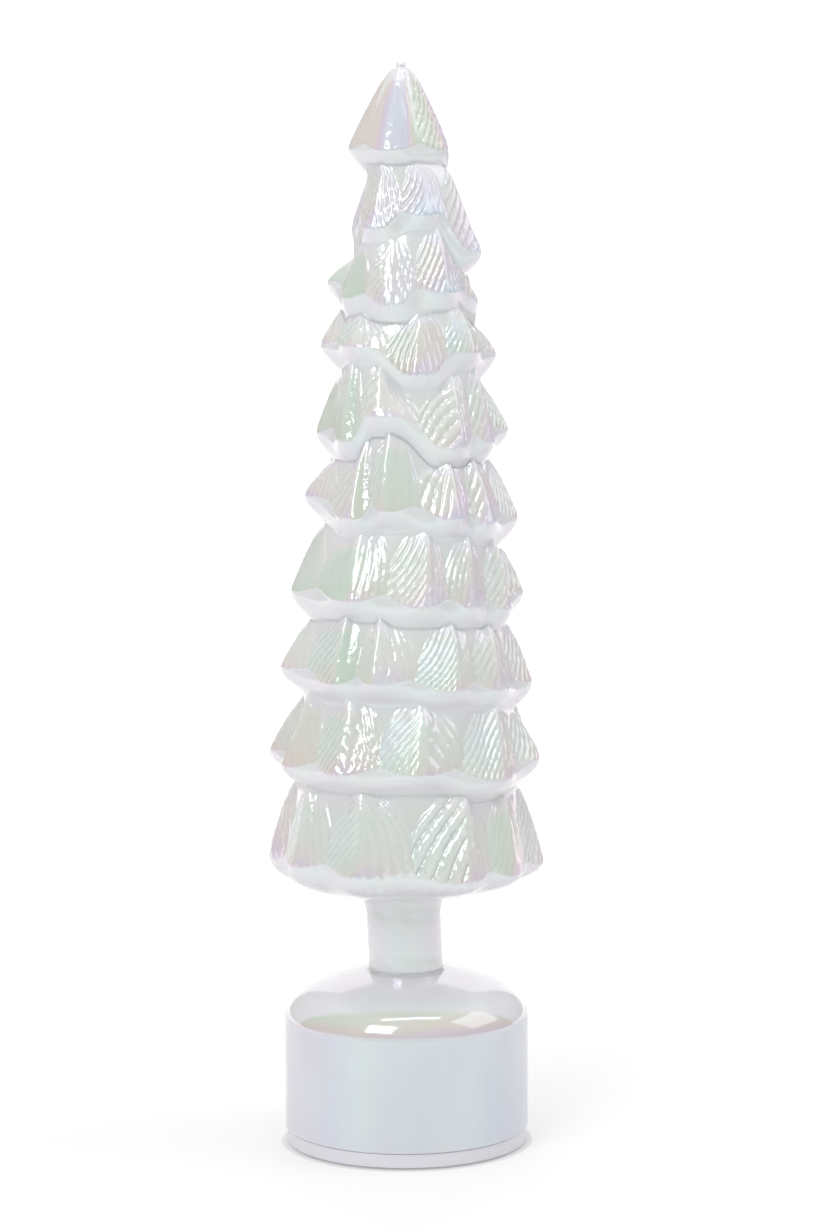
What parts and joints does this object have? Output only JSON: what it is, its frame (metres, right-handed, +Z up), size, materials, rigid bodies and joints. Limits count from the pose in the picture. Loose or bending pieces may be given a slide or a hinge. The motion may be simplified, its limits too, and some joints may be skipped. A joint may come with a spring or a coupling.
{
  "type": "rotating led tree",
  "caption": "Pearl glass fir tree on a domed glass base that turns on a plastic foot, lit from inside by a mast of LEDs.",
  "frame": {"origin": "on the ground under the middle of the round base", "axes": "+Z up along the axis that the glass turns about, +X to the right and -Y towards the viewer of the picture"},
  "size_m": [0.0939, 0.0921, 0.3805],
  "materials": {
    "pearl_glass": "iridescent pearl lustre, glossy",
    "white_plastic": "satin",
    "natural_plastic": "natural acetal, satin",
    "grey_plastic": "satin",
    "clear_plastic": "clear",
    "silicone": "translucent silicone",
    "rubber": "matt",
    "steel": "plated",
    "brass": "satin",
    "cell_skin": "plain wrapper, no lettering",
    "board": "circuit board",
    "led": "warm white",
    "black_plastic": "matt",
    "red_lead": "insulated wire",
    "black_lead": "insulated wire",
    "white_lead": "insulated wire"
  },
  "bodies": {
    "foot": {"foot_pan": "white_plastic", "rubber_foot_1": "rubber", "rubber_foot_2": "rubber", "rubber_foot_3": "rubber", "rubber_foot_4": "rubber", "pan_screw_1": "steel", "pan_screw_2": "steel", "pan_screw_3": "steel", "pan_screw_4": "steel", "drum_housing": "white_plastic", "bearing_ring": "grey_plastic", "retainer_cap": "white_plastic", "cap_screw_1": "steel", "cap_screw_2": "steel", "cap_screw_3": "steel", "light_mast": "clear_plastic", "mast_plug": "white_plastic", "led_strip": "board", "led_1": "led", "led_2": "led", "led_3": "led", "led_4": "led", "led_5": "led", "led_6": "led", "led_7": "led", "led_8": "led", "motor_can": "steel", "gearbox": "brass", "battery_box": "white_plastic", "battery_cell_1": "cell_skin", "battery_cell_2": "cell_skin", "battery_cell_3": "cell_skin", "terminal_plus": "steel", "terminal_minus": "steel", "contact_bridge_1": "steel", "contact_bridge_2": "steel", "switch_body": "black_plastic", "control_board": "board", "motor_lead": "black_lead", "led_lead": "white_lead", "battery_lead_plus": "red_lead", "battery_lead_minus": "black_lead"},
    "turntable": {"glass_base": "pearl_glass", "trunk_bead": "silicone", "glass_trunk": "pearl_glass", "glass_tree": "pearl_glass", "glass_gasket": "silicone", "carrier_ring": "natural_plastic"},
    "pinion": {"drive_pinion": "natural_plastic", "output_shaft": "steel"},
    "switch": {"switch_knob": "black_plastic"},
    "door": {"battery_door": "white_plastic", "door_screw": "steel"}
  },
  "joints": [
    {"name": "turntable_spin", "type": "hinge", "parent": "foot", "child": "turntable", "pos_m": [0, 0, 0], "axis": [0, 0, 1], "continuous": true},
    {"name": "pinion_spin", "type": "hinge", "parent": "foot", "child": "pinion", "pos_m": [0.0302, 0, 0], "axis": [0, 0, 1], "continuous": true},
    {"name": "switch_slide", "type": "slide", "parent": "foot", "child": "switch", "axis": [0, 1, 0], "range_m": [0, 0.004]},
    {"name": "door_release", "type": "slide", "parent": "foot", "child": "door", "axis": [0, 0, -1], "range_m": [0, 0.03]}
  ],
  "couplings": [
    {"joint": "pinion_spin", "follows": "turntable_spin", "ratio": 7.5}
  ]
}
